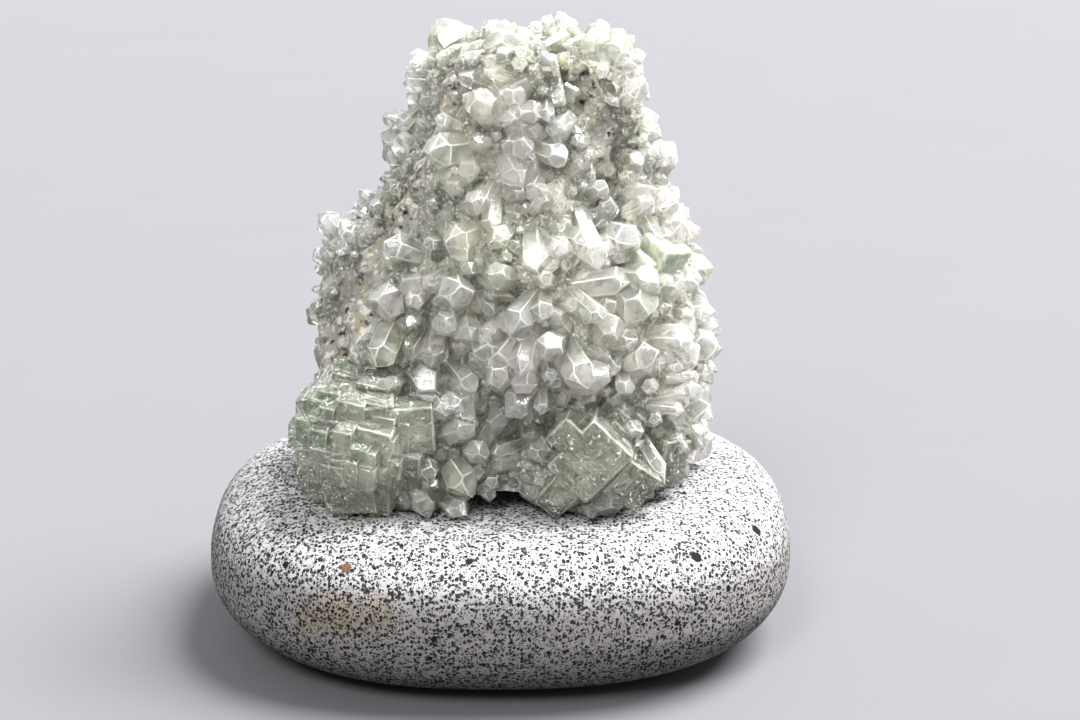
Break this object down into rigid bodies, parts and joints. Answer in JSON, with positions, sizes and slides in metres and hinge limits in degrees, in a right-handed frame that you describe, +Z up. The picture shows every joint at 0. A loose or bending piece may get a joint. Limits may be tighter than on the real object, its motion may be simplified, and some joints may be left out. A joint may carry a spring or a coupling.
{
  "type": "fluorite cluster",
  "caption": "Mineral specimen: green fluorite blocks and a drusy crust of quartz points on grey rock, standing upright on a speckled granite pebble.",
  "frame": {"origin": "on the ground under the middle of the pebble", "axes": "+Z up, -Y out of the cluster's best face, +X to that face's right as seen from the front"},
  "size_m": [0.076, 0.0612, 0.0802],
  "materials": {
    "granite": "water-worn white granite with fine black specks",
    "rock": "rough granular grey and tan rock",
    "quartz": "milky translucent crystal with bright facets",
    "fluorite": "pale green crystal, frosted and stepped"
  },
  "bodies": {
    "root": {"pebble": "granite", "host_rock": "rock", "quartz_crust": "quartz", "fluorite_left": "fluorite", "fluorite_right": "fluorite", "fluorite_side": "fluorite", "fluorite_upper": "fluorite"}
  },
  "joints": []
}
